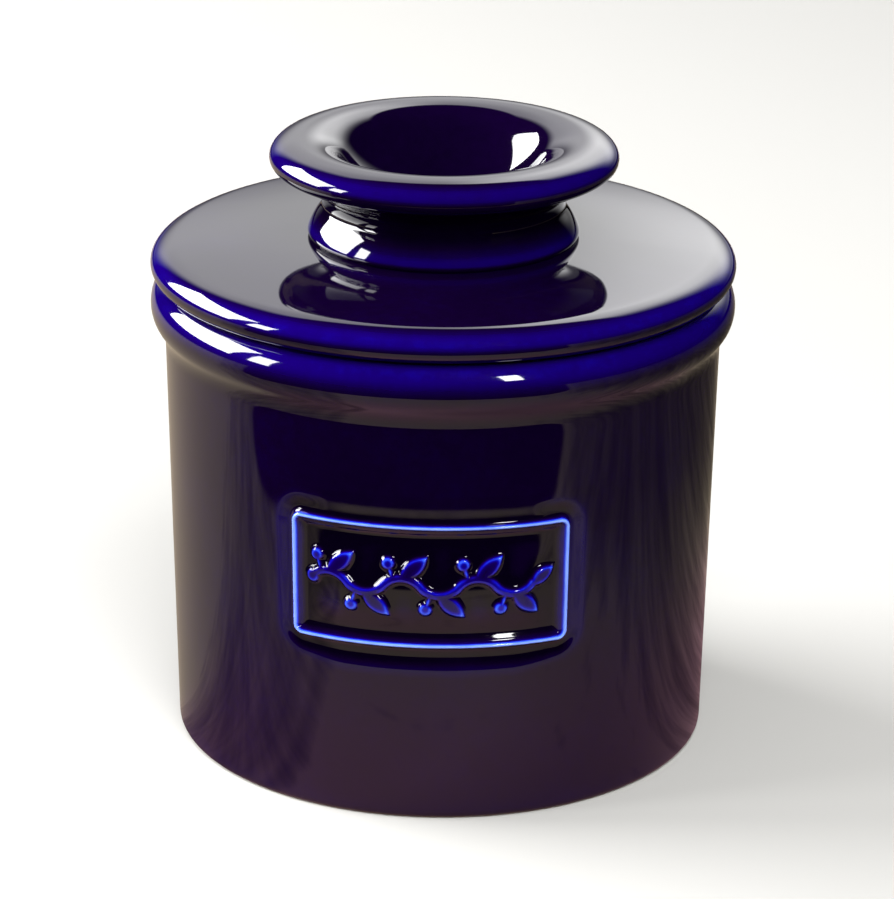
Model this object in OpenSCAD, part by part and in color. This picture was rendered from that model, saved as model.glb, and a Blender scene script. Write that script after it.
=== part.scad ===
// Butter crock: a stoneware crock that holds a little water, and a lid whose knob stands on top
// and whose bell cup hangs underneath. The cup is packed with butter, and its mouth dips into the
// water, which keeps the air out. The axis is Z, the foot stands on z = 0 and the label faces -Y.

/* [Crock] */
// Outside radius of the wall at the foot
foot_r = 43.9; // [42.5:0.1:45]
// Outside radius of the wall just below the cove
shoulder_r = 45.3; // [44.8:0.1:45.8]
// Widest radius of the rim bead
rim_r = 47.65; // [47:0.05:48.5]
// Height of the rim, on which the lid rests
seat_z = 77.6; // [74:0.1:84]
// Thickness of the wall at the foot
wall_t = 4.6; // [3.5:0.1:5.5]
// Thickness of the floor
floor_t = 5.5; // [4:0.5:8]
// Half of the depth of the rim bead's section
bead_r = 3.6; // [3.2:0.1:3.8]
// Depth of the hollow cove's ellipse under the rim bead
cove_r = 4; // [3:0.5:5]
// Height of the bead and the cove, as a multiple of their depth
rim_stretch = 1.25; // [1.1:0.05:1.4]
// Radius of the rounded corner inside, between the floor and the wall
well_fillet = 7; // [4:0.5:10]
// Radius of the rounded outer edge of the foot
foot_round = 1.1; // [0.5:0.1:2]
// Inside radius of the unglazed foot ring
foot_ring_r = 37; // [30:0.5:39]
// Depth of the hollow inside the foot ring
foot_hollow = 1.2; // [0.5:0.1:2]

/* [Label] */
// Half of the angle that the label spans round the wall
label_half_deg = 28.2; // [27:0.1:32]
// Height of the label's centre
label_z = 40.4; // [36:0.1:44]
// Height of the label, between the crests of its frame
label_h = 20; // [16:0.5:24]
// Width of the frame's ridge at its root
ridge_w = 1.8; // [1.2:0.1:2.4]
// Width of the frame's ridge at its crest
crest_w = 0.7; // [0.4:0.1:1]
// How far the frame stands out of the wall
ridge_h = 0.75; // [0.4:0.05:1]
// How far the panel inside the frame is sunk into the wall
panel_sink = 0.3; // [0.2:0.05:0.6]
// How far the sprig stands out of the sunk panel
sprig_h = 0.75; // [0.4:0.05:1]
// Length of one wave of the sprig's stem
wave_l = 5.9; // [5.6:0.1:6]
// Thickness of the sprig's stem
stem_t = 1.7; // [1.2:0.1:2]

/* [Lid plate] */
// Widest radius of the lid plate
lid_r = 47.6; // [47:0.1:48.5]
// Thickness of the lid plate under the knob
lid_t = 6.6; // [6:0.1:7.2]
// Height of the widest point of the lid's edge, above its underside
lid_waist = 2.3; // [1.8:0.1:2.6]
// How far the rounded upper edge reaches in from the widest radius
lid_edge = 5; // [4:0.1:6]
// Fall of the domed top, from the knob to the rounded edge
lid_dome = 1.1; // [0.7:0.1:1.4]
// Rise of the domed ceiling inside the bell cup
ceiling_rise = 2.2; // [0.5:0.1:2.5]

/* [Knob] */
// Widest radius of the knob's flange
knob_r = 28.25; // [27.5:0.25:29.5]
// Height of the knob above the lid plate
knob_h = 16.2; // [15.3:0.1:17.2]
// Height of the flange's widest point above the lid plate
flange_z = 13.1; // [12.5:0.1:13.7]
// Width of the flange's rounded lower edge
lip_w = 2.2; // [1.8:0.1:2.6]
// Height of the flange's rounded lower edge
lip_h = 2; // [1.6:0.1:2.4]
// Radius of the neck at the lid
base_r = 22.1; // [21.7:0.1:22.5]
// Radius of the rounded corner at the foot of the neck
base_round = 0.8; // [0.6:0.1:1.2]
// Radius of the curve in which the neck bulges
neck_bulge = 12; // [11:0.5:13]
// How far the neck leans in just above the lid, in degrees
base_tilt = 20; // [18:1:24]
// How far the neck leans in just under its groove, in degrees
neck_tilt = 38; // [34:1:40]
// Radius of the neck at its narrowest, under the flange
groove_r = 19.6; // [19.2:0.1:20]
// Height of that narrowest place above the lid plate
groove_z = 5.7; // [5.6:0.1:6.2]
// Radius of the crest round the knob's top
crest_r = 23.2; // [22.8:0.1:23.8]
// Radius of the hollow in the knob where its wall is steepest
bowl_r = 16.6; // [16:0.1:17.2]
// How strongly the crest rolls down into the hollow
bowl_roll = 6.5; // [5.5:0.1:6.8]

/* [Bell cup] */
// Depth of the cup below the lid's underside
cup_depth = 50; // [42:0.5:54]
// Inside radius of the cup at the lid
cup_root_r = 28.5; // [27:0.5:30]
// Inside radius of the cup at its mouth
cup_mouth_r = 31; // [29:0.5:32]
// Thickness of the cup's wall
cup_t = 4.6; // [3.5:0.1:5]
// Radius of the fillet where the cup meets the lid
cup_fillet = 3.5; // [2:0.5:4]

/* [Hidden] */
$fn = 96;
// The label's relief is thin, so its curves round the wall are cut finer
label_fn = 480;
arc_steps = 10;
glaze = [0.07, 0.02, 0.36];
glaze_thin = [0.16, 0.30, 0.92];
bead_x = rim_r - bead_r;
bead_h = bead_r * rim_stretch;
bead_z = seat_z - bead_h;
// Before the stretch, the cove and the bead are tangent circles, and this is the slope between their centres
cove_run = shoulder_r + cove_r - bead_x;
cove_rise = sqrt(pow(cove_r + bead_r, 2) - pow(cove_run, 2));
cove_angle = atan2(cove_rise, cove_run);
shoulder_z = bead_z - cove_rise * rim_stretch;
wall_tilt = atan2(shoulder_r - foot_r, shoulder_z);
bore_foot_r = foot_r - wall_t;
bore_rim_r = bead_x - bead_r + 0.15;
plate_z = seat_z + lid_t;
label_low = label_z - label_h / 2;
label_high = label_z + label_h / 2;
sprig_waves = 6;
wave_rise = 1.4;
// The stem starts left of the middle, so that the end leaf balances the end berry
sprig_shift = -1.3;

// Points on an ellipse about (x, z), from angle a0 to angle a1
function arc(x, z, rx, rz, a0, a1, steps = arc_steps) =
    [for (i = [0:steps]) let (a = a0 + (a1 - a0) * i / steps) [x + rx * cos(a), z + rz * sin(a)]];

// Outside radius of the tapered wall at height z
function wall_r(z) = foot_r + (shoulder_r - foot_r) * z / shoulder_z;

// The angle that a length along the wall spans, at the label's height
function degrees_at(length) = length / wall_r(label_z) * 180 / PI;

module turned(profile, angle = 360) {
    rotate_extrude(angle = angle) polygon(profile);
}

// Part of a turned ring, centred on -Y and spanning half_deg to each side
module front_sector(profile, half_deg) {
    $fn = label_fn;
    rotate([0, 0, -90 - half_deg]) turned(profile, 2 * half_deg);
}

// The wall as a solid cone, grown outwards by `out`, between heights z0 and z1
module wall_cone(z0, z1, out = 0) {
    $fn = label_fn;
    turned([[0, z0], [wall_r(z0) + out, z0], [wall_r(z1) + out, z1], [0, z1]]);
}

module crock_body() {
    z0 = label_low + ridge_w / 2;
    z1 = label_high - ridge_w / 2;
    color(glaze) difference() {
        turned(concat(
            [[0, foot_hollow], [foot_ring_r - 1, foot_hollow], [foot_ring_r, 0]],
            arc(foot_r - foot_round, foot_round, foot_round, foot_round, -90, 0),
            arc(shoulder_r + cove_r, shoulder_z, cove_r, cove_r * rim_stretch, 180, 180 - cove_angle),
            arc(bead_x, bead_z, bead_r, bead_h, -cove_angle, 90),
            arc(bead_x, bead_z, bead_x - bore_rim_r, bead_h, 100, 180),
            arc(bore_foot_r - well_fillet, floor_t + well_fillet, well_fillet, well_fillet, 0, -90),
            [[0, floor_t]]
        ));
        front_sector([
            [wall_r(z0) - panel_sink, z0], [wall_r(z0) + 2, z0],
            [wall_r(z1) + 2, z1], [wall_r(z1) - panel_sink, z1]
        ], label_half_deg - degrees_at(ridge_w / 2));
    }
}

// Section of the frame's ridge: how far out it stands, against its distance from the crest's middle
ridge_section = [[-0.5, -ridge_w / 2], [0, -ridge_w / 2], [ridge_h, -crest_w / 2],
    [ridge_h, crest_w / 2], [0, ridge_w / 2], [-0.5, ridge_w / 2]];

module frame_side() {
    translate([0, -wall_r(label_z), label_z]) rotate([wall_tilt, 0, 0])
        linear_extrude(label_h + crest_w, center = true) rotate(-90) polygon(ridge_section);
}

// A rectangle of ridges on the wall, with its root trimmed to the wall's surface
module label_frame() {
    color(glaze_thin) difference() {
        union() {
            for (z = [label_low, label_high])
                front_sector([for (p = ridge_section) [wall_r(z) + p[0], z + p[1]]], label_half_deg);
            for (side = [-1, 1]) rotate([0, 0, side * label_half_deg]) frame_side();
        }
        wall_cone(label_low - 5, label_high + 5);
    }
}

// A pointed leaf along +X from its foot at the origin: two circles crossing
module leaf(length, width) {
    r = (pow(length, 2) + pow(width, 2)) / (4 * width);
    translate([length / 2, 0]) intersection() {
        translate([0, width / 2 - r]) circle(r);
        translate([0, r - width / 2]) circle(r);
    }
}

// One wave of the stem: the part of a ring above its chord, cut square to the ring at both ends
module stem_wave() {
    r = (pow(wave_l / 2, 2) + pow(wave_rise, 2)) / (2 * wave_rise);
    intersection() {
        translate([0, wave_rise - r]) difference() {
            circle(r + stem_t / 2);
            circle(r - stem_t / 2);
        }
        polygon([[0, wave_rise - r], [-wave_l, r - wave_rise], [wave_l, r - wave_rise]]);
    }
}

module berry(x, y, r = 1.15) {
    translate([x, y]) circle(r);
}

// A wave of the stem with its leaf, and with a berry on a short stalk
module sprig_unit() {
    stem_wave();
    translate([-0.6, 0.9]) rotate(42) leaf(6.2, 2.9);
    translate([-1.3, 0.9]) rotate(17) translate([-0.5, 0]) square([1, 2.6]);
    berry(-2.2, 3.7);
}

// Extrudes a flat drawing through the wall, at length u along the wall from its middle
module on_wall(u) {
    rotate([0, 0, degrees_at(u)]) translate([0, 0, label_z]) rotate([90, 0, 0])
        translate([0, 0, wall_r(label_z) - 3]) linear_extrude(6) children();
}

// A running sprig: the waves turn up and down by turns, from a berry on the left to a leaf on the right
module label_sprig() {
    end = sprig_waves * wave_l / 2;
    color(glaze_thin) difference() {
        intersection() {
            wall_cone(label_low, label_high, sprig_h - panel_sink);
            union() {
                for (i = [0:sprig_waves - 1])
                    on_wall(sprig_shift - end + (i + 0.5) * wave_l) mirror([0, i % 2, 0]) sprig_unit();
                on_wall(sprig_shift - end) berry(0, 0, 1.25);
                on_wall(sprig_shift + end) translate([-0.5, -0.4]) rotate(34) leaf(5, 2.6);
            }
        }
        wall_cone(label_low - 5, label_high + 5, -panel_sink);
    }
}

module lid_plate() {
    waist_z = seat_z + lid_waist;
    edge_x = lid_r - lid_edge;
    // The rounded edge stops at this angle, where it slopes as the domed top does
    edge_end = 80;
    edge_h = (plate_z - lid_dome - waist_z) / sin(edge_end);
    dome_r = edge_x + lid_edge * cos(edge_end);
    color(glaze) turned(concat(
        [[0, seat_z + ceiling_rise]],
        arc(0, seat_z, cup_root_r, ceiling_rise, 80, 0),
        arc(lid_r - lid_waist, waist_z, lid_waist, lid_waist, -90, 0),
        arc(edge_x, waist_z, lid_edge, edge_h, 6, edge_end),
        [for (i = [1:arc_steps]) let (t = 1 - i / arc_steps)
            [base_r + (dome_r - base_r) * t, plate_z - lid_dome * pow(t, 2)]],
        [[0, plate_z]]
    ));
}

// The crest's roll turns by roll_angle; the round bottom of the hollow carries on at the same slope
module knob() {
    flange = plate_z + flange_z;
    crest = plate_z + knob_h;
    groove = plate_z + groove_z;
    lip_x = knob_r - lip_w;
    // The flare's curve stops short of the top of its ellipse, just inside the middle of the lip
    flare_end = 112;
    flare_w = (lip_x - groove_r - 0.2) / (1 + cos(flare_end));
    bulge_x = base_r - base_round - (neck_bulge - base_round) * cos(base_tilt);
    bulge_z = plate_z + base_round - (neck_bulge - base_round) * sin(base_tilt);
    roll_angle = 60;
    roll_w = (crest_r - bowl_r) / sin(roll_angle);
    join_z = crest - bowl_roll * (1 - cos(roll_angle));
    join_slope = bowl_roll * tan(roll_angle) / roll_w;
    join_angle = 35;
    bowl_w = bowl_r / cos(join_angle);
    bowl_h = join_slope * bowl_w * tan(join_angle);
    bowl_z = join_z + bowl_h * sin(join_angle);
    color(glaze) turned(concat(
        [[0, plate_z]],
        arc(base_r - base_round, plate_z + base_round, base_round, base_round, -90, base_tilt),
        arc(bulge_x, bulge_z, neck_bulge, neck_bulge, base_tilt + 2, neck_tilt),
        arc(groove_r + flare_w, groove, flare_w, flange - lip_h - groove, 187, flare_end),
        arc(lip_x, flange, lip_w, lip_h, -75, 0),
        arc(crest_r, flange, knob_r - crest_r, crest - flange, 9, 90),
        arc(crest_r, crest - bowl_roll, roll_w, bowl_roll, 96, 90 + roll_angle),
        arc(0, bowl_z, bowl_w, bowl_h, -join_angle - 4, -90)
    ));
}

module bell_cup() {
    lip_r = cup_t / 2;
    mouth_z = seat_z - cup_depth;
    root_x = cup_root_r + cup_t + cup_fillet;
    color(glaze) turned(concat(
        [[cup_root_r, seat_z]],
        arc(cup_mouth_r + lip_r, mouth_z + lip_r, lip_r, lip_r, 180, 360, 2 * arc_steps),
        arc(root_x, seat_z - cup_fillet, cup_fillet, cup_fillet, 180, 90)
    ));
}

crock_body();
label_frame();
label_sprig();
lid_plate();
knob();
bell_cup();
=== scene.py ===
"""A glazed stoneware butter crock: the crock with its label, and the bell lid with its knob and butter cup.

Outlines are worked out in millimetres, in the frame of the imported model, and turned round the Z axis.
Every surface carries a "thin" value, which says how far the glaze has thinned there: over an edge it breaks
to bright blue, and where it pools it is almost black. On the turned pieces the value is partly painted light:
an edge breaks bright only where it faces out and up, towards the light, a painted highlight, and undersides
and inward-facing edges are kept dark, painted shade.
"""
import math

import bpy
import numpy as np
from mathutils import Matrix, Vector


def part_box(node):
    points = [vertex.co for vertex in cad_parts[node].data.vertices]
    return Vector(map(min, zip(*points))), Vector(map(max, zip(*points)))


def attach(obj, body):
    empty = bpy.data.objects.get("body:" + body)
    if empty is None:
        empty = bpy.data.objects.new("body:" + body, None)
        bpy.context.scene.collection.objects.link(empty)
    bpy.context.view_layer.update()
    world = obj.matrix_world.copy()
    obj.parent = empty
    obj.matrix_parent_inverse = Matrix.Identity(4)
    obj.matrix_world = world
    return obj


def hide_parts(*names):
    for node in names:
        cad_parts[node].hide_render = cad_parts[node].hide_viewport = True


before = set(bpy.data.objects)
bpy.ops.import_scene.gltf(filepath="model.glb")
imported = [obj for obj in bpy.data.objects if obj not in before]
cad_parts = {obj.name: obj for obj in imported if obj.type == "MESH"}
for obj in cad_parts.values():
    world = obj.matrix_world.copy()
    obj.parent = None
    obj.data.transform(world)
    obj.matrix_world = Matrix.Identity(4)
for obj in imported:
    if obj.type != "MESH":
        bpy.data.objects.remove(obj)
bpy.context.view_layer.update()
MM = 0.001


def span(node):
    """Radius, lowest height and highest height of a turned CAD node, in millimetres."""
    low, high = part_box(node)
    return (high.y - low.y) / 2 / MM, low.z / MM, high.z / MM


# --- Sizes, in millimetres ------------------------------------------------------------------------
RIM_R, _, SEAT_Z = span("crock_body")
LID_R, _, LID_TOP = span("lid_plate")
KNOB_R, _, KNOB_TOP = span("knob")
CUP_R, CUP_LOW, _ = span("bell_cup")

FOOT_R = 43.9            # outside of the wall at the foot
FOOT_ROUND = 1.1         # rounding of the wall's lower edge
SHOULDER_R = 45.3        # outside of the wall under the cove
BEAD = 3.6               # radius of the rim bead's section
BEAD_TRIM = 0.15         # how much narrower the bead's inner half is than its outer half
COVE = 4.0               # radius of the cove under the bead
RIM_STRETCH = 1.25       # height of the bead and the cove, as a multiple of their depth
WALL = 4.6               # thickness of the wall at the foot
FLOOR = 5.5              # thickness of the crock's floor
INSIDE_FILLET = 7.0      # rounding of the crock's inside corner
FOOT_RING_R = 37.0       # inside radius of the bare foot ring
FOOT_HOLLOW = 1.2        # depth of the hollow inside the foot ring

LID_WAIST = 2.3          # height of the lid's widest point above its underside
LID_EDGE = 5.0           # how far the rounded upper edge reaches in
LID_DOME = 1.1           # fall of the domed top, from the neck to the rounded edge
CEILING_RISE = 2.2       # rise of the vaulted underside, inside the bell cup

FLANGE_Z = KNOB_TOP - 3.1    # height of the knob's widest point
LIP_W = 2.2              # width and height of the flange's rounded lower edge
LIP_H = 2.0
CREST_R = 23.2           # radius of the crest round the knob's top
NECK_R = 22.1            # radius of the neck at the lid
BASE_ROUND = 0.8         # rounding of the neck's lower edge
NECK_BULGE = 12          # radius of the curve in which the neck bulges
BASE_TILT = 20           # how far the neck leans in just above the lid, in degrees
NECK_TILT = 38           # and just under its groove
GROOVE_R = 19.6          # radius of the neck at its narrowest, and the height of that place
GROOVE_Z = LID_TOP + 5.7
BOWL_R = 16.6            # radius of the hollow where its wall is steepest
BOWL_ROLL = 6.5          # how strongly the crest rolls down into the hollow
KNOB_SUNK = 1            # how far the knob and the bell cup are sunk into the lid
CUP_SUNK = 0.8
CUP_ROOT_R = 28.5        # inside radius of the bell cup at the lid
CUP_WALL = 4.6           # thickness of the cup's wall
CUP_FILLET = 3.5         # rounding between the cup and the lid

LABEL_HALF_DEG = 28.2    # half of the angle that the label spans
LABEL_Z = 40.4           # height of the label's middle
LABEL_H = 20.0           # height of the label
LABEL_CORNER = 1.3       # rounding of the frame's corners
LABEL_WALL_R = 44.8      # radius of the wall at the label
LABEL_HALF_U = math.radians(LABEL_HALF_DEG) * LABEL_WALL_R
LABEL_MARGIN = 5         # how far the fine mesh goes on beyond the label: above and below, and at the ends
LABEL_MARGIN_DEG = 6
RIDGE_H = 0.75           # height of the frame's ridge over the wall
STROKE_H = 0.65          # height of the sprig over the panel
GRID_STEP = 0.15         # spacing of the even grid on which the label's glaze is worked out
GRID_HALF_U = 28         # half of the grid's length and height
GRID_HALF_V = 16
WIDE_BLUR = 1.5          # the glaze thins where the relief stands out, seen over these two distances
NARROW_BLUR = 0.42

GLAZE_SOFTENS = 0.28     # how far the glaze rounds every corner
BEND_REACH = 0.8         # distance over which the glaze feels a bend


# --- Outlines -------------------------------------------------------------------------------------
def arc(x, z, rx, rz, start, end, steps=24):
    """Points on an ellipse about (x, z), from one angle to another, in degrees."""
    angles = np.radians(np.linspace(start, end, steps + 1))
    return [(x + rx * math.cos(a), z + rz * math.sin(a)) for a in angles]


def crock_outline():
    bead_x = RIM_R - BEAD
    bead_h, cove_h = BEAD * RIM_STRETCH, COVE * RIM_STRETCH
    bead_z = SEAT_Z - bead_h
    run = SHOULDER_R + COVE - bead_x
    rise = math.sqrt((COVE + BEAD) ** 2 - run ** 2)
    slope = math.degrees(math.atan2(rise, run))
    shoulder_z = bead_z - rise * RIM_STRETCH
    bore_rim = bead_x - BEAD + BEAD_TRIM
    bore_foot = FOOT_R - WALL
    return [
        (0, FOOT_HOLLOW), (FOOT_RING_R - 1, FOOT_HOLLOW), (FOOT_RING_R, 0),
        *arc(FOOT_R - FOOT_ROUND, FOOT_ROUND, FOOT_ROUND, FOOT_ROUND, -90, 0),
        *arc(SHOULDER_R + COVE, shoulder_z, COVE, cove_h, 180, 180 - slope),
        *arc(bead_x, bead_z, BEAD, bead_h, -slope, 90),
        *arc(bead_x, bead_z, bead_x - bore_rim, bead_h, 92, 180),
        *arc(bore_foot - INSIDE_FILLET, FLOOR + INSIDE_FILLET, INSIDE_FILLET, INSIDE_FILLET, 0, -90),
        (0, FLOOR),
    ]


def plate_outline():
    waist_z = SEAT_Z + LID_WAIST
    edge_x = LID_R - LID_EDGE
    edge_end = 80
    edge_h = (LID_TOP - LID_DOME - waist_z) / math.sin(math.radians(edge_end))
    dome_r = edge_x + LID_EDGE * math.cos(math.radians(edge_end))
    dome_steps = np.linspace(1, 0, 25)[1:]
    dome = [(NECK_R + (dome_r - NECK_R) * t, LID_TOP - LID_DOME * t * t) for t in dome_steps]
    return [
        (0, SEAT_Z + CEILING_RISE),
        *arc(0, SEAT_Z, CUP_ROOT_R, CEILING_RISE, 89, 0),
        *arc(LID_R - LID_WAIST, waist_z, LID_WAIST, LID_WAIST, -90, 0),
        *arc(edge_x, waist_z, LID_EDGE, edge_h, 3, edge_end, 40),
        *dome,
        (0, LID_TOP),
    ]


def knob_outline():
    lip_x = KNOB_R - LIP_W
    lip_gap = 0.2
    flare_end, roll_angle, join_angle = 112, 60, 35
    flare_w = (lip_x - GROOVE_R - lip_gap) / (1 + math.cos(math.radians(flare_end)))
    bulge_x = NECK_R - BASE_ROUND - (NECK_BULGE - BASE_ROUND) * math.cos(math.radians(BASE_TILT))
    bulge_z = LID_TOP + BASE_ROUND - (NECK_BULGE - BASE_ROUND) * math.sin(math.radians(BASE_TILT))
    roll_w = (CREST_R - BOWL_R) / math.sin(math.radians(roll_angle))
    join_z = KNOB_TOP - BOWL_ROLL * (1 - math.cos(math.radians(roll_angle)))
    join_slope = BOWL_ROLL * math.tan(math.radians(roll_angle)) / roll_w
    bowl_w = BOWL_R / math.cos(math.radians(join_angle))
    bowl_h = join_slope * bowl_w * math.tan(math.radians(join_angle))
    bowl_z = join_z + bowl_h * math.sin(math.radians(join_angle))
    return [
        (0, LID_TOP - KNOB_SUNK), (NECK_R - BASE_ROUND, LID_TOP - KNOB_SUNK),
        *arc(NECK_R - BASE_ROUND, LID_TOP + BASE_ROUND, BASE_ROUND, BASE_ROUND, -80, BASE_TILT),
        *arc(bulge_x, bulge_z, NECK_BULGE, NECK_BULGE, BASE_TILT + 1, NECK_TILT),
        *arc(GROOVE_R + flare_w, GROOVE_Z, flare_w, FLANGE_Z - LIP_H - GROOVE_Z, 187, flare_end),
        *arc(lip_x, FLANGE_Z, LIP_W, LIP_H, -75, 0),
        *arc(CREST_R, FLANGE_Z, KNOB_R - CREST_R, KNOB_TOP - FLANGE_Z, 3, 90),
        *arc(CREST_R, KNOB_TOP - BOWL_ROLL, roll_w, BOWL_ROLL, 93, 90 + roll_angle),
        *arc(0, bowl_z, bowl_w, bowl_h, -join_angle - 1, -90),
    ]


def cup_outline():
    """A closed ring: its top is sunk a little into the lid plate."""
    lip = CUP_WALL / 2
    inside = CUP_R - CUP_WALL
    root_x = CUP_ROOT_R + CUP_WALL + CUP_FILLET
    top = SEAT_Z + CUP_SUNK
    return [
        (CUP_ROOT_R, top),
        *arc(inside + lip, CUP_LOW + lip, lip, lip, 180, 360, 40),
        *arc(root_x, SEAT_Z - CUP_FILLET, CUP_FILLET, CUP_FILLET, 180, 90),
        (root_x, top),
    ]


class Outline:
    """An outline softened by the glaze and cut into rows, close together where it bends or has relief.

    `facing` and `lift` are the outward and upward parts of the surface's direction, `bend` is how sharply
    it turns, and `rising` is 1 on outer walls.
    """

    def __init__(self, points, ring=False, fine_band=None, max_step=1.6, max_turn=4.0):
        fine = 0.08
        points = np.array(points, float)
        if ring:
            points = np.vstack([points, points[:1]])
        at = np.r_[0, np.cumsum(np.hypot(*np.diff(points, axis=0).T))]
        even = np.linspace(0, at[-1], int(at[-1] / fine))
        x = np.interp(even, at, points[:, 0])
        z = np.interp(even, at, points[:, 1])
        x, z = soften(x, z, GLAZE_SOFTENS / fine, ring)
        heading = np.unwrap(np.arctan2(np.gradient(z), np.gradient(x)))
        bend = np.gradient(heading) / fine
        rising = np.gradient(z) > 0.5 * fine
        density = 1 / max_step + np.abs(bend) / math.radians(max_turn)
        if fine_band:
            low, high, step = fine_band
            density = density + ((z > low) & (z < high) & rising) / step
        rows = np.r_[0, np.cumsum(density[1:] * fine)]
        pick = np.linspace(0, rows[-1], int(rows[-1]) + 2)
        if ring:
            pick = pick[:-1]
        self.ring = ring
        self.x = np.interp(pick, rows, x)
        self.z = np.interp(pick, rows, z)
        self.bend = np.interp(pick, rows, blur(bend, BEND_REACH / fine, ring))
        self.facing = np.interp(pick, rows, np.sin(heading))
        self.lift = np.interp(pick, rows, -np.cos(heading))
        self.rising = np.interp(pick, rows, rising.astype(float))
        if not ring:
            self.x[0] = self.x[-1] = 0


def kernel(sigma):
    """A bell-shaped kernel, and how many places it reaches to each side."""
    reach = int(3 * sigma) + 1
    k = np.exp(-0.5 * (np.arange(-reach, reach + 1) / sigma) ** 2)
    return k / k.sum(), reach


def blur(values, sigma, wrap):
    k, reach = kernel(sigma)
    padded = np.pad(values, reach, mode="wrap" if wrap else "edge")
    return np.convolve(padded, k, mode="valid")


def soften(x, z, sigma, ring):
    """Rounds every corner. Past an end on the axis the outline goes on as its own mirror image."""
    k, reach = kernel(sigma)
    if ring:
        px, pz = np.pad(x, reach, mode="wrap"), np.pad(z, reach, mode="wrap")
    else:
        px, pz = np.pad(x, reach, mode="reflect", reflect_type="odd"), np.pad(z, reach, mode="reflect")
    return np.convolve(px, k, mode="valid"), np.convolve(pz, k, mode="valid")


# --- Label relief ---------------------------------------------------------------------------------
def step_up(value, low, high):
    """Goes smoothly from 0 at low to 1 at high."""
    t = np.clip((value - low) / (high - low), 0, 1)
    return t * t * (3 - 2 * t)


def turned_by(x, y, degrees):
    """A place as seen from a shape that is turned by an angle."""
    a = math.radians(degrees)
    return x * math.cos(a) + y * math.sin(a), y * math.cos(a) - x * math.sin(a)


def leaf(x, y, length, width):
    """Distance outside a pointed leaf that lies along +X from the origin."""
    r = (length ** 2 + width ** 2) / (4 * width)
    return np.maximum(np.hypot(x - length / 2, y - (width / 2 - r)) - r,
                      np.hypot(x - length / 2, y - (r - width / 2)) - r)


def stem_wave(x, y, length, rise, thick):
    """Distance outside one arched stretch of the stem, centred on the origin."""
    r = (length ** 2 / 4 + rise ** 2) / (2 * rise)
    side = np.arctan2(np.abs(x), y - (rise - r))
    ring = np.abs(np.hypot(x, y - (rise - r)) - r) - thick / 2
    ends = np.hypot(np.abs(x) - length / 2, y) - thick / 2
    return np.where(side <= math.asin(length / 2 / r), ring, ends)


def stalk(x, y, ax, ay, bx, by, thick):
    """Distance outside a straight stalk from a to b."""
    dx, dy = bx - ax, by - ay
    t = np.clip(((x - ax) * dx + (y - ay) * dy) / (dx * dx + dy * dy), 0, 1)
    return np.hypot(x - ax - t * dx, y - ay - t * dy) - thick / 2


def berry(x, y, cx, cy, r=1.15):
    return np.hypot(x - cx, y - cy) - r


def sprig(u, v):
    """Distance outside the running sprig, with u along the wall and v up, from the label's centre.

    Each wave of the stem carries a leaf, and a berry on a stalk. A berry starts it and a leaf ends it.
    """
    waves, wave, shift = 6, 5.9, -1.3
    end = waves * wave / 2
    d = np.minimum(berry(u - shift + end, v, 0, 0, 1.25),
                   leaf(*turned_by(u - shift - end + 0.5, v + 0.4, 34), 5.0, 2.6))
    for i in range(waves):
        x = u - shift + end - (i + 0.5) * wave
        y = v if i % 2 == 0 else -v
        d = np.minimum.reduce([
            d,
            stem_wave(x, y, wave, 1.4, 1.7),
            leaf(*turned_by(x + 0.6, y - 0.9, 42), 6.2, 2.9),
            stalk(x, y, -1.3, 0.9, -2.1, 3.4, 1.0),
            berry(x, y, -2.2, 3.7),
        ])
    return d


def label_relief(u, v):
    """How far the glazed surface stands out of the wall over the label.

    Round the frame the wall dips, least above the label and most below it. Inside the frame the panel lies
    lower than the ridge and swells towards its middle, and the sprig stands on it.
    """
    half_u, half_v = LABEL_HALF_U, LABEL_H / 2
    qu, qv = np.abs(u) - half_u + LABEL_CORNER, np.abs(v) - half_v + LABEL_CORNER
    beyond = np.hypot(np.maximum(qu, 0), np.maximum(qv, 0))
    edge = beyond + np.minimum(np.maximum(qu, qv), 0) - LABEL_CORNER
    mitre = np.minimum(half_u - np.abs(u), half_v - np.abs(v))
    ridge = RIDGE_H * (1 - step_up(np.abs(edge), 0.05, 0.68))
    above = step_up(v, half_v - 3, half_v) * (1 - step_up(np.abs(u), half_u - 6, half_u - 1))
    below = step_up(-v, half_v - 3, half_v) * (1 - step_up(np.abs(u), half_u - 9, half_u + 2))
    cove_end = 1 - step_up(edge / (1 + 0.38 * below), 1.2, 3.6)
    cove = (0.27 * above - 0.12 * below - 0.3) * step_up(edge, 0.3, 1.2) * cove_end
    swell = step_up(half_v - v, 1.3, 12.5) * step_up(half_v + v, 1.3, 6.5)
    swell = swell * step_up(half_u - np.abs(u), 1.3, 8.0)
    panel = 0.62 * swell - 0.55 * step_up(mitre, 0.6, 1.9)
    strokes = STROKE_H * step_up(-sprig(u, v), -0.35, 0.5)
    return ridge + cove + panel + strokes


def grid_blur(relief, radius):
    """Blurs a relief given on the label's even grid."""
    sigma = radius / GRID_STEP
    return np.apply_along_axis(blur, 0, np.apply_along_axis(blur, 1, relief, sigma, False), sigma, False)


def label_glow(grid_u, grid_v):
    """Glaze thinness over the label, with no painted light: it breaks on the relief and in a halo past its
    ends.
    """
    relief = label_relief(*np.meshgrid(grid_u, grid_v))
    wide = relief - grid_blur(relief, WIDE_BLUR)
    narrow = relief - grid_blur(relief, NARROW_BLUR)
    beyond_end = np.abs(grid_u) - LABEL_HALF_U
    halo = 0.24 * step_up(beyond_end, -3.0, 0.5) * (1 - step_up(beyond_end, 0.8, 4.4))
    halo = halo[None, :] * (1 - step_up(np.abs(grid_v), 8.0, 13.0))[:, None]
    return np.clip(0.05 + halo + 0.5 * wide + 2.5 * np.clip(narrow, 0, None), 0, 1)


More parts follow.
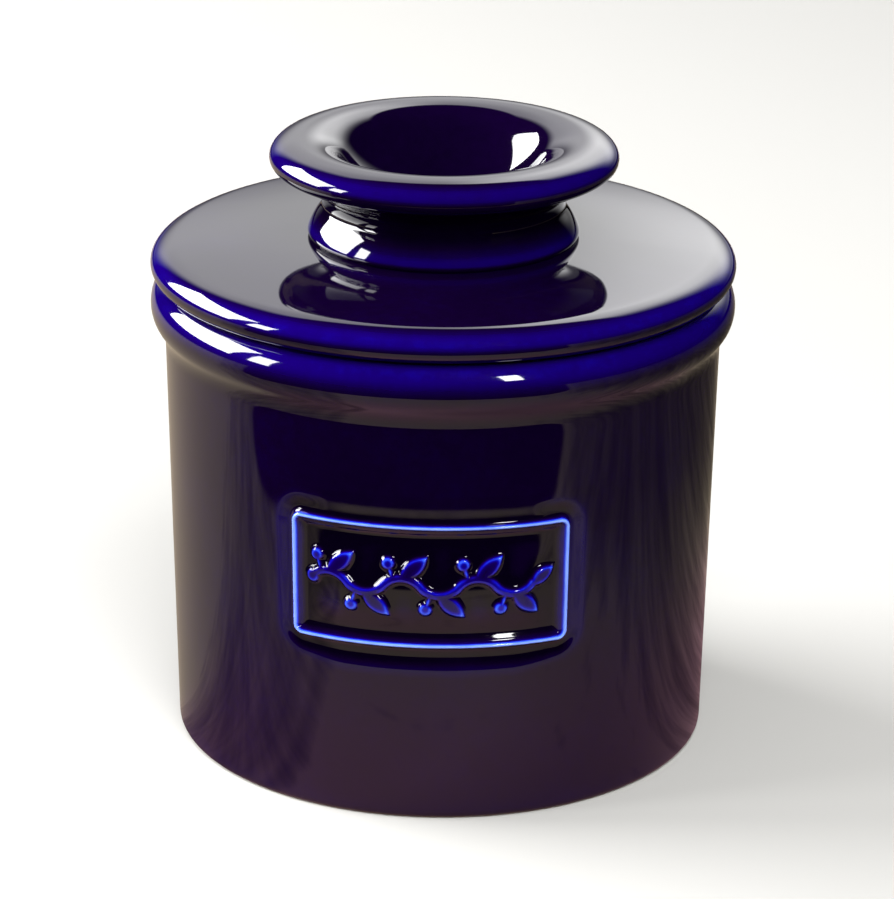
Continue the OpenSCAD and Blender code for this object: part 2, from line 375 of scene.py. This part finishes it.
def sample_grid(values, grid_u, grid_v, u, v):
    """Values of the even grid at any places, in proportion to the four grid points round each."""
    across = np.clip((u - grid_u[0]) / GRID_STEP, 0, len(grid_u) - 1.001)
    up = np.clip((v - grid_v[0]) / GRID_STEP, 0, len(grid_v) - 1.001)
    across, up = np.broadcast_arrays(across, up)
    i, j = up.astype(int), across.astype(int)
    fi, fj = up - i, across - j
    return ((values[i, j] * (1 - fi) + values[i + 1, j] * fi) * (1 - fj)
            + (values[i, j + 1] * (1 - fi) + values[i + 1, j + 1] * fi) * fj)


# --- Meshes ---------------------------------------------------------------------------------------
def even_angles(count):
    return np.linspace(0, 2 * math.pi, count, endpoint=False)


def label_angles(fine_deg=0.2, coarse_deg=2.0):
    """Angles round the crock from the back, close together over the label at angle pi."""
    spacing = 0.01
    degrees = np.linspace(0, 360, round(360 / spacing) + 1)
    near = np.abs(degrees - 180) < LABEL_HALF_DEG + LABEL_MARGIN_DEG
    at = np.r_[0, np.cumsum(np.where(near, 1 / fine_deg, 1 / coarse_deg)[1:] * spacing)]
    count = int(at[-1])
    return np.radians(np.interp(np.linspace(0, at[-1], count, endpoint=False), at, degrees))


def turned_mesh(name, outline, angles, out=None, thin=None, bare=None):
    """A closed mesh of revolution. Angle 0 is +Y. `out`, `thin` and `bare` are per row and column."""
    rows, cols = len(outline.x), len(angles)
    out = np.zeros((rows, cols)) if out is None else out
    r = outline.x[:, None] + out
    points = np.stack([-r * np.sin(angles), r * np.cos(angles), np.repeat(outline.z[:, None], cols, 1)], -1)
    index = np.arange(rows * cols).reshape(rows, cols)
    after = np.roll(index, -1, axis=1)
    if outline.ring:
        up, up_after = np.roll(index, -1, axis=0), np.roll(after, -1, axis=0)
        faces = np.stack([index, up, up_after, after], -1).reshape(-1, 4).tolist()
    else:
        body = np.stack([index[1:-2], index[2:-1], after[2:-1], after[1:-2]], -1).reshape(-1, 4)
        first, last = index[0, 0], index[-1, 0]
        fans = [[first, index[1, i], after[1, i]] for i in range(cols)]
        fans += [[index[-2, i], last, after[-2, i]] for i in range(cols)]
        faces = body.tolist() + fans
    points = points.reshape(-1, 3)
    used = np.zeros(len(points), bool)
    for face in faces:
        used[face] = True
    renumber = np.cumsum(used) - 1
    mesh = bpy.data.meshes.new(name)
    faces = [[int(renumber[i]) for i in face] for face in faces]
    mesh.from_pydata((points[used] * MM).tolist(), [], faces)
    mesh.shade_smooth()
    for key, values in (("thin", thin), ("bare", bare)):
        layer = mesh.attributes.new(key, "FLOAT", "POINT")
        flat = np.broadcast_to(0.0 if values is None else values, (rows, cols)).reshape(-1)
        layer.data.foreach_set("value", flat[used].astype(np.float32))
    mesh.validate()
    piece = bpy.data.objects.new(name, mesh)
    bpy.context.scene.collection.objects.link(piece)
    return piece


def edge_thinning(outline):
    """Glaze thins over rounded edges and pools in hollows, with painted light on the edges that face the
    light.
    """
    # Painted light: the edge break shows only where the surface faces out and up, towards the light, as a
    # painted highlight; undersides and inward-facing edges keep painted shade.
    outward = step_up(outline.facing, 0.25, 0.75) * step_up(outline.lift, -0.15, 0.4)
    on_flat, on_edge, in_hollow = 0.06, 0.26, 0.04
    edge, hollow = step_up(outline.bend, 0.0, 0.24), step_up(-outline.bend, 0.0, 0.3)
    return on_flat + on_edge * edge * outward - in_hollow * hollow


def bare_clay(outline):
    """1 where the crock has no glaze: on the foot ring and in the hollow inside it."""
    on_ring = (outline.z < 0.35) & (outline.x > FOOT_RING_R - 0.8)
    hollow = (outline.z < FOOT_HOLLOW + 0.3) & (outline.x < FOOT_RING_R + 0.2) & (outline.rising < 0.5)
    return np.where(on_ring | hollow, 1.0, 0.0)


def make_crock():
    reach_u = math.radians(LABEL_HALF_DEG + LABEL_MARGIN_DEG) * LABEL_WALL_R
    reach_v = LABEL_H / 2 + LABEL_MARGIN
    row_step = 0.2
    outline = Outline(crock_outline(), fine_band=(LABEL_Z - reach_v, LABEL_Z + reach_v, row_step))
    angles = label_angles()
    u = (angles[None, :] - math.pi) * LABEL_WALL_R
    v = outline.z[:, None] - LABEL_Z
    inside = (outline.rising[:, None] > 0.5) & (np.abs(v) < reach_v) & (np.abs(u) < reach_u)
    out = np.where(inside, label_relief(u, v), 0)
    grid_u = np.arange(-GRID_HALF_U, GRID_HALF_U, GRID_STEP)
    grid_v = np.arange(-GRID_HALF_V, GRID_HALF_V, GRID_STEP)
    glow = sample_grid(label_glow(grid_u, grid_v), grid_u, grid_v, u, v)
    thin = np.where(inside, glow, edge_thinning(outline)[:, None])
    return turned_mesh("crock_with_label", outline, angles, out, thin, bare_clay(outline)[:, None])


def make_turned(name, points, ring=False, columns=220, break_and_light_scale=1.0):
    """A turned piece. `break_and_light_scale` scales how strongly its glaze thins over edges, and the painted
    edge light with it.
    """
    outline = Outline(points, ring=ring)
    return turned_mesh(name, outline, even_angles(columns), thin=break_and_light_scale * edge_thinning(outline)[:, None])


# --- Materials ------------------------------------------------------------------------------------
class Nodes:
    """A short way to add and join shader nodes."""

    def __init__(self, material):
        material.use_nodes = True
        self.tree = material.node_tree
        self.tree.nodes.clear()

    def add(self, kind, **settings):
        node = self.tree.nodes.new(kind)
        for key, value in settings.items():
            if hasattr(node, key):
                setattr(node, key, value)
            else:
                node.inputs[key].default_value = value
        return node

    def join(self, source, target):
        self.tree.links.new(source, target)

    def math(self, operation, a, b=None, c=None, clamp=False):
        node = self.add("ShaderNodeMath", operation=operation, use_clamp=clamp)
        for slot, value in enumerate((a, b, c)):
            if value is None:
                continue
            if isinstance(value, (int, float)):
                node.inputs[slot].default_value = value
            else:
                self.join(value, node.inputs[slot])
        return node.outputs[0]

    def noise(self, scale, detail=3.0, roughness=0.5, at=None):
        node = self.add("ShaderNodeTexNoise")
        node.inputs["Scale"].default_value = scale
        node.inputs["Detail"].default_value = detail
        node.inputs["Roughness"].default_value = roughness
        self.join(at or self.place, node.inputs["Vector"])
        return node.outputs["Fac"]

    def ramp(self, value, start, end):
        """Goes smoothly from 0 at start to 1 at end."""
        node = self.add("ShaderNodeMapRange", interpolation_type="SMOOTHSTEP")
        node.inputs["From Min"].default_value = start
        node.inputs["From Max"].default_value = end
        self.join(value, node.inputs["Value"])
        return node.outputs["Result"]

    def mix(self, factor, a, b):
        node = self.add("ShaderNodeMix", data_type="RGBA")
        self.join(factor, node.inputs["Factor"])
        for slot, value in ((6, a), (7, b)):
            if isinstance(value, tuple):
                node.inputs[slot].default_value = (*value, 1)
            else:
                self.join(value, node.inputs[slot])
        return node.outputs[2]

    def mix_shaders(self, factor, a, b):
        node = self.add("ShaderNodeMixShader")
        self.join(factor, node.inputs["Fac"])
        self.join(a.outputs[0], node.inputs[1])
        self.join(b.outputs[0], node.inputs[2])
        return node


# Colour of the glaze against how thin it is.
GLAZE_RAMP = [
    (0.00, (0.0012, 0.0002, 0.0042)),
    (0.06, (0.0028, 0.0002, 0.0115)),
    (0.18, (0.0036, 0.0000, 0.0420)),
    (0.32, (0.0048, 0.0000, 0.0950)),
    (0.50, (0.0045, 0.0030, 0.3600)),
    (0.72, (0.0300, 0.0900, 0.8600)),
    (1.00, (0.2000, 0.3400, 1.0000)),
]
CLAY_DARK = (0.42, 0.33, 0.24)
CLAY_PALE = (0.62, 0.53, 0.42)
GLAZE_IOR = 1.52
MICROMETRE = 0.000001


def glaze_material():
    """Cobalt glaze, cloudy and mottled, with a slightly uneven surface. Bare clay is grainy and dull."""
    material = bpy.data.materials.new("cobalt_glaze")
    n = Nodes(material)
    n.place = n.add("ShaderNodeTexCoord").outputs["Object"]
    thin = n.add("ShaderNodeAttribute", attribute_name="thin").outputs["Fac"]
    bare = n.add("ShaderNodeAttribute", attribute_name="bare").outputs["Fac"]

    # Colour: the glaze's thinness, with painted light on up- and out-facing edges, made uneven at three
    # scales.
    cloud = n.math("MULTIPLY_ADD", n.noise(55, 2.0), 0.06, -0.03)
    mottle = n.math("MULTIPLY_ADD", n.noise(700, 3.0, 0.6), 0.05, -0.025)
    patchy = n.math("MULTIPLY", thin, n.math("MULTIPLY_ADD", n.noise(260, 2.0), 0.24, 0.88))
    glaze_and_light_level = n.math("ADD", n.math("ADD", patchy, cloud), mottle, clamp=True)
    ramp = n.add("ShaderNodeValToRGB")
    stops = ramp.color_ramp.elements
    while len(stops) < len(GLAZE_RAMP):
        stops.new(0.5)
    for stop, (position, colour) in zip(stops, GLAZE_RAMP):
        stop.position = position
        stop.color = (*colour, 1)
    n.join(glaze_and_light_level, ramp.inputs["Fac"])

    grain = n.noise(2600, 4.0, 0.7)
    clay = n.mix(grain, CLAY_DARK, CLAY_PALE)
    colour = n.mix(bare, ramp.outputs["Color"], clay)

    # Roughness: nearly smooth glaze, and dull clay.
    smear = n.math("MULTIPLY_ADD", n.noise(120, 4.0, 0.6), 0.05, 0.02)
    rough = n.math("MULTIPLY_ADD", bare, 0.8, smear, clamp=True)

    # Height of the surface, in micrometres: broad sway, fine orange peel, and the clay's tooth.
    sway = n.math("MULTIPLY", n.noise(75, 1.0), 42.0)
    peel = n.math("MULTIPLY", n.noise(520, 1.5), 1.2)
    tooth = n.math("MULTIPLY", n.math("MULTIPLY", grain, bare), 60.0)
    height = n.math("ADD", n.math("ADD", sway, peel), tooth)
    bump = n.add("ShaderNodeBump")
    bump.inputs["Strength"].default_value = 1.0
    bump.inputs["Distance"].default_value = MICROMETRE
    n.join(height, bump.inputs["Height"])

    shader = n.add("ShaderNodeBsdfPrincipled")
    shader.inputs["IOR"].default_value = GLAZE_IOR
    n.join(colour, shader.inputs["Base Color"])
    n.join(rough, shader.inputs["Roughness"])
    n.join(bump.outputs["Normal"], shader.inputs["Normal"])
    n.join(shader.outputs[0], n.add("ShaderNodeOutputMaterial").inputs["Surface"])
    return material


# --- Stage ----------------------------------------------------------------------------------------
TABLE_NEAR = (0.28, 0.154, 0.178)    # the table that the glaze mirrors, beside the crock and farther off
TABLE_FAR = (0.22, 0.180, 0.130)
BLACK = (0.0, 0.0, 0.0)
PALE = (0.93, 0.925, 0.91, 1.0)      # the studio far from the crock, as the camera sees it
FLOOR_SEEN = (0.45, 0.445, 0.43)     # the floor as the camera sees it, and as it lights the crock
FLOOR_BOUNCE = (0.16, 0.13, 0.11)
DARK_FROM = 0.155        # metres from the crock's axis at which the mirrored table ends in front
DARK_MIDDLE = -13.0      # bearing of the middle of that dark stretch, in degrees from the front
DARK_HALF = 61.0         # half of its angle
DARK_ROUND = 0.05        # its corners are rounded by this many metres along the table
DARK_ROUND_DEG = 12      # and by this many degrees


def dark_stretch(n, away, bearing):
    """1 where the mirrored table has ended."""
    side = n.math("ABSOLUTE", n.math("SUBTRACT", bearing, math.radians(DARK_MIDDLE)))
    side_full = math.radians(DARK_HALF - DARK_ROUND_DEG)
    near_edge = n.math("DIVIDE", n.math("SUBTRACT", DARK_FROM + DARK_ROUND, away), DARK_ROUND)
    side_edge = n.math("DIVIDE", n.math("SUBTRACT", side, side_full), math.radians(DARK_ROUND_DEG))
    near_edge = n.math("MAXIMUM", near_edge, 0.0)
    side_edge = n.math("MAXIMUM", side_edge, 0.0)
    corner = n.math("SQRT", n.math("ADD", n.math("MULTIPLY", near_edge, near_edge),
                                   n.math("MULTIPLY", side_edge, side_edge)))
    return n.ramp(corner, 1.05, 0.92)


def between(n, bearing, start, full, full_end, end):
    """1 between two bearings from the front, in degrees, fading to 0 at two others."""
    start, full, full_end, end = (math.radians(degrees) for degrees in (start, full, full_end, end))
    return n.math("MULTIPLY", n.ramp(bearing, start, full), n.ramp(bearing, end, full_end))


def table_light(n, away, bearing):
    """How bright the mirrored table is: bright on the left, dim far off on the right, grained and streaky."""
    leftward = between(n, bearing, -178, -150, -40, 20)
    shade = between(n, bearing, -96, -80, -40, -24)
    far_right = n.math("MULTIPLY", between(n, bearing, 30, 62, 140, 175), n.ramp(away, 0.07, 0.17))
    limb = between(n, bearing, 70, 95, 140, 175)
    front_right = n.math("MULTIPLY", between(n, bearing, -15, 15, 50, 80), n.ramp(away, 0.15, 0.10))
    planks = n.add("ShaderNodeVectorMath", operation="MULTIPLY")
    planks.inputs[1].default_value = (9, 95, 1)
    n.join(n.place, planks.inputs[0])
    round_about = n.add("ShaderNodeVectorMath", operation="NORMALIZE")
    n.join(n.place, round_about.inputs[0])
    grain = n.ramp(n.noise(1.0, 4.0, 0.7, planks.outputs[0]), 0.3, 0.7)
    streaks = n.ramp(n.noise(9.0, 3.0, 0.6, round_about.outputs[0]), 0.3, 0.7)
    light = 1.0
    for share, change, elsewhere in ((leftward, 0.75, 1.06), (far_right, -0.7, 1.0), (shade, -0.68, 1.0),
                                     (limb, -0.4, 1.0), (front_right, 0.4, 1.0), (grain, 0.8, 0.6),
                                     (streaks, 0.4, 0.75)):
        light = n.math("MULTIPLY", n.math("MULTIPLY_ADD", share, change, elsewhere), light)
    return light


def mirrored_table(n):
    """What the glaze mirrors in place of the pale floor: a brown table in a dark room."""
    xyz = n.add("ShaderNodeSeparateXYZ")
    n.join(n.place, xyz.inputs[0])
    x, y = xyz.outputs["X"], xyz.outputs["Y"]
    away = n.math("SQRT", n.math("ADD", n.math("MULTIPLY", x, x), n.math("MULTIPLY", y, y)))
    bearing = n.math("ARCTAN2", x, n.math("MULTIPLY", y, -1.0))
    near = n.math("MULTIPLY", n.ramp(away, 0.13, 0.05), between(n, bearing, -95, -60, 120, 175))
    colour = n.mix(near, TABLE_FAR, TABLE_NEAR)
    colour = n.mix(table_light(n, away, bearing), BLACK, colour)
    colour = n.mix(dark_stretch(n, away, bearing), colour, BLACK)
    return n.mix(n.ramp(away, 0.45, 0.75), colour, BLACK)


def make_floor():
    """A plain pale floor, clear from below. It lights the crock little and is mirrored in it as a table."""
    mesh = bpy.data.meshes.new("floor")
    reach = 6.0
    corners = [(-reach, -reach, 0), (reach, -reach, 0), (reach, reach, 0), (-reach, reach, 0)]
    mesh.from_pydata(corners, [], [(0, 1, 2, 3)])
    floor = bpy.data.objects.new("floor", mesh)
    bpy.context.scene.collection.objects.link(floor)
    material = bpy.data.materials.new("floor")
    n = Nodes(material)
    n.place = n.add("ShaderNodeTexCoord").outputs["Object"]
    path = n.add("ShaderNodeLightPath")
    colour = n.mix(path.outputs["Is Diffuse Ray"], FLOOR_SEEN, FLOOR_BOUNCE)
    colour = n.mix(path.outputs["Is Glossy Ray"], colour, mirrored_table(n))
    shader = n.add("ShaderNodeBsdfDiffuse")
    n.join(colour, shader.inputs["Color"])
    pale = n.add("ShaderNodeEmission", Color=PALE)
    distance = n.add("ShaderNodeVectorMath", operation="LENGTH")
    n.join(n.place, distance.inputs[0])
    far = n.math("MULTIPLY", path.outputs["Is Camera Ray"], n.ramp(distance.outputs["Value"], 0.4, 1.3))
    seen = n.mix_shaders(far, shader, pale)
    from_below = n.add("ShaderNodeNewGeometry").outputs["Backfacing"]
    clear = n.mix_shaders(from_below, seen, n.add("ShaderNodeBsdfTransparent"))
    n.join(clear.outputs[0], n.add("ShaderNodeOutputMaterial").inputs["Surface"])
    mesh.materials.append(material)


def direction(bearing, elevation):
    """Unit vector at a bearing from the front, positive to the right, and an elevation, both in degrees."""
    b, e = math.radians(bearing), math.radians(elevation)
    return Vector((math.sin(b) * math.cos(e), -math.cos(b) * math.cos(e), math.sin(e)))


MIDDLE = Vector((0, 0, 0.08))    # the place the lights are aimed at
WINDOW_LOW = 7.0                 # elevation of the window's lower and upper edge, in degrees
WINDOW_HIGH = 38.0


def area_light(name, bearing, low, high, half_width, distance, radiance, glossy=True, diffuse=True):
    """A rectangular light seen from the lid at a bearing, between two elevations, all in degrees."""
    middle = (low + high) / 2
    data = bpy.data.lights.new(name, "AREA")
    data.shape = "RECTANGLE"
    data.size = 2 * distance * math.tan(math.radians(half_width))
    data.size_y = 2 * distance * math.tan(math.radians((high - low) / 2))
    data.energy = radiance * math.pi * data.size * data.size_y
    light = bpy.data.objects.new(name, data)
    bpy.context.scene.collection.objects.link(light)
    toward = direction(bearing, middle)
    light.location = MIDDLE + toward * distance
    light.rotation_euler = (-toward).to_track_quat("-Z", "Y").to_euler()
    light.visible_glossy = glossy
    light.visible_diffuse = diffuse
    return light


def make_backdrop():
    """A soft bright wall behind the crock, seen only in the glaze: dimmer on the left than on the right."""
    radius = 1.6
    bearings = np.linspace(103, 229, 64)
    heights = np.linspace(-0.05, 2.5, 12)
    points = [tuple(direction(b, 0) * radius + Vector((0, 0, z))) for z in heights for b in bearings]
    columns = len(bearings)
    starts = [row * columns + column for row in range(len(heights) - 1) for column in range(columns - 1)]
    faces = [(at, at + 1, at + columns + 1, at + columns) for at in starts]
    mesh = bpy.data.meshes.new("backdrop")
    mesh.from_pydata(points, [], faces)
    wall = bpy.data.objects.new("backdrop", mesh)
    bpy.context.scene.collection.objects.link(wall)
    material = bpy.data.materials.new("backdrop")
    n = Nodes(material)
    n.place = n.add("ShaderNodeTexCoord").outputs["Object"]
    xyz = n.add("ShaderNodeSeparateXYZ")
    n.join(n.place, xyz.inputs[0])
    x, z = xyz.outputs["X"], xyz.outputs["Z"]
    rightward = n.math("MULTIPLY", n.ramp(x, -0.10, 0.25), n.ramp(x, 1.0, 0.5))
    ends = n.math("MULTIPLY", n.ramp(x, -0.95, -0.65), n.ramp(x, 1.15, 0.75))
    upward = n.math("MULTIPLY_ADD", n.ramp(z, 0.12, 0.60), 0.88, 0.14)
    above = n.math("MULTIPLY_ADD", n.ramp(z, 0.6, 1.2), 0.4, 1.0)
    upward = n.math("MULTIPLY", n.math("MULTIPLY", upward, above), n.ramp(z, 2.25, 2.0))
    sideways = n.math("MULTIPLY_ADD", rightward, 1.70, 1.46)
    strength = n.math("MULTIPLY", sideways, n.math("MULTIPLY", upward, ends))
    shader = n.add("ShaderNodeEmission")
    n.join(strength, shader.inputs["Strength"])
    n.join(shader.outputs[0], n.add("ShaderNodeOutputMaterial").inputs["Surface"])
    mesh.materials.append(material)
    wall.visible_camera = wall.visible_diffuse = wall.visible_shadow = False


def make_lights(crock):
    """A window on the left in two panes, soft light from in front and above, and one lamp that glints."""
    world = bpy.data.worlds.new("studio")
    bpy.context.scene.world = world
    n = Nodes(world)
    background = n.add("ShaderNodeBackground", Color=PALE)
    n.join(n.add("ShaderNodeLightPath").outputs["Is Camera Ray"], background.inputs["Strength"])
    n.join(background.outputs[0], n.add("ShaderNodeOutputWorld").inputs["Surface"])
    area_light("window_wide", -107, WINDOW_LOW, WINDOW_HIGH, half_width=22, distance=1.2, radiance=22)
    area_light("window_narrow", -71, WINDOW_LOW, WINDOW_HIGH - 11, half_width=5, distance=1.2, radiance=22)
    area_light("front_fill", 18, 25, 60, half_width=14, distance=1.3, radiance=16, glossy=False)
    area_light("overhead", 10, 60, 110, half_width=25, distance=1.4, radiance=2.2, glossy=False)
    spark = area_light("spark", 30, 22, 40, half_width=3.5, distance=1.3, radiance=30, diffuse=False)
    only_crock = bpy.data.collections.new("lit_by_spark")
    only_crock.objects.link(crock)
    spark.light_linking.receiver_collection = only_crock
    make_backdrop()


def make_camera():
    """Stands where the photographer stood: 20.5 degrees above the table, with a long lens."""
    data = bpy.data.cameras.new("camera")
    camera = bpy.data.objects.new("camera", data)
    bpy.context.scene.collection.objects.link(camera)
    bpy.context.scene.camera = camera
    focal_px = 4065.5
    long_side_px = 899
    data.sensor_width = 36
    data.lens = focal_px * data.sensor_width / long_side_px
    data.clip_start = 0.01
    data.clip_end = 50
    distance = 0.6733
    elevation = math.radians(20.49)
    turn = math.radians(2.24)
    roll = math.radians(0.518)
    target = Vector((0.00087, 0, 0.04661))
    away = Vector((0, -math.cos(elevation), math.sin(elevation)))
    forward = -away
    right = forward.cross(Vector((0, 0, 1))).normalized()
    up = right.cross(forward)
    rolled_right = right * math.cos(roll) + up * math.sin(roll)
    rolled_up = up * math.cos(roll) - right * math.sin(roll)
    turned = Matrix.Rotation(turn, 4, "Z")
    basis = Matrix((rolled_right, rolled_up, away)).transposed().to_4x4()
    camera.matrix_world = turned @ Matrix.Translation(target + away * distance) @ basis


# --- Build ----------------------------------------------------------------------------------------
glaze = glaze_material()
pieces = [
    (make_crock(), "crock", ("crock_body", "label_frame", "label_sprig")),
    (make_turned("lid_plate_glazed", plate_outline()), "bell_lid", ("lid_plate",)),
    (make_turned("knob_glazed", knob_outline(), break_and_light_scale=0.8), "bell_lid", ("knob",)),
    (make_turned("bell_cup_glazed", cup_outline(), ring=True), "bell_lid", ("bell_cup",)),
]
for piece, body, nodes in pieces:
    piece.data.materials.append(glaze)
    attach(piece, body)
    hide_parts(*nodes)

make_floor()
make_lights(pieces[0][0])
make_camera()
bpy.context.scene.view_settings.view_transform = "Standard"
